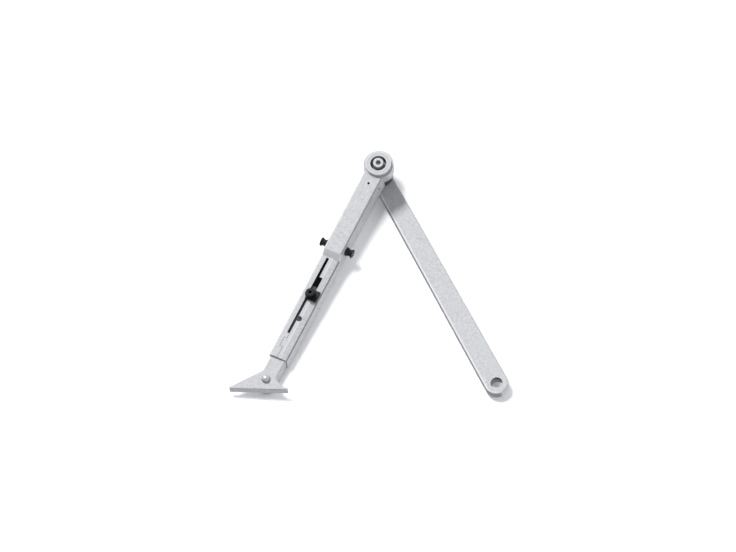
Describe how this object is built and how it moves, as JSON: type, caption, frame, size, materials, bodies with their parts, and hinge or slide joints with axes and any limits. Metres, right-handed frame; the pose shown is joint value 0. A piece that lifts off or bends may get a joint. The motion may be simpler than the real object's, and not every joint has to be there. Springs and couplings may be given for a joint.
{
  "type": "door closer arm",
  "caption": "Hold-open arm of a door closer: flat main arm, elbow housing with a switch, telescopic forearm and a pivoting foot bracket.",
  "frame": {"origin": "on the spindle axis, at the underside of the main arm where its square socket opens", "axes": "+Z along the pivot axes, away from the closer; the main arm runs 26.27 degrees from +Y towards -X, and the forearm comes back from the elbow"},
  "size_m": [0.2786, 0.2624, 0.0385],
  "materials": {
    "silver_paint": "satin, with a fine mottle",
    "zinc": "zinc plated",
    "steel": "hardened, ground",
    "black_plastic": "matte",
    "black_oxide": "black oxide",
    "bronze": "sintered"
  },
  "bodies": {
    "main_arm": {"main_arm": "silver_paint", "pivot_stud": "steel", "detent_cam": "steel", "thrust_washer": "steel", "pivot_washer": "zinc", "pivot_screw": "zinc"},
    "forearm": {"elbow_block": "silver_paint", "elbow_housing": "silver_paint", "elbow_bush": "bronze", "elbow_cap_ring": "silver_paint", "roll_pin": "zinc", "cross_pin": "steel", "spring_seat": "steel", "detent_spring": "steel", "adjustment_sleeve": "silver_paint", "clamp_plate": "black_oxide", "clamp_screw": "black_oxide"},
    "plunger": {"plunger": "steel", "roller_axle": "steel", "pull_yoke": "steel"},
    "roller": {"detent_roller": "steel"},
    "switch": {"switch_shaft": "steel", "switch_knob_left": "black_plastic", "switch_knob_right": "black_plastic"},
    "rod": {"slide_rod": "silver_paint", "foot_rivet": "zinc", "rivet_washer": "zinc"},
    "foot": {"foot_bracket": "silver_paint"}
  },
  "joints": [
    {"name": "elbow_turn", "type": "hinge", "parent": "main_arm", "child": "forearm", "pos_m": [-0.11592, 0.23485, 0.03], "axis": [0, 0, 1], "range_deg": [-120, 45]},
    {"name": "switch_turn", "type": "hinge", "parent": "forearm", "child": "switch", "pos_m": [-0.15828, 0.14837, 0.025], "axis": [0.898, -0.4399, 0], "range_deg": [0, 90]},
    {"name": "plunger_slide", "type": "slide", "parent": "forearm", "child": "plunger", "axis": [-0.4399, -0.898, 0], "range_m": [0, 0.0018], "deforming": ["detent_spring"]},
    {"name": "roller_spin", "type": "hinge", "parent": "plunger", "child": "roller", "pos_m": [-0.12386, 0.21864, 0.0168], "axis": [0, 0, 1], "continuous": true},
    {"name": "rod_slide", "type": "slide", "parent": "forearm", "child": "rod", "axis": [-0.4399, -0.898, 0], "range_m": [-0.01, 0.05]},
    {"name": "foot_turn", "type": "hinge", "parent": "rod", "child": "foot", "pos_m": [-0.22951, 0.00298, 0.029], "axis": [0, 0, 1], "range_deg": [-75, 40]}
  ],
  "couplings": [
    {"joint": "switch_turn", "follows": "plunger_slide", "rad_per_m": 872.66}
  ]
}
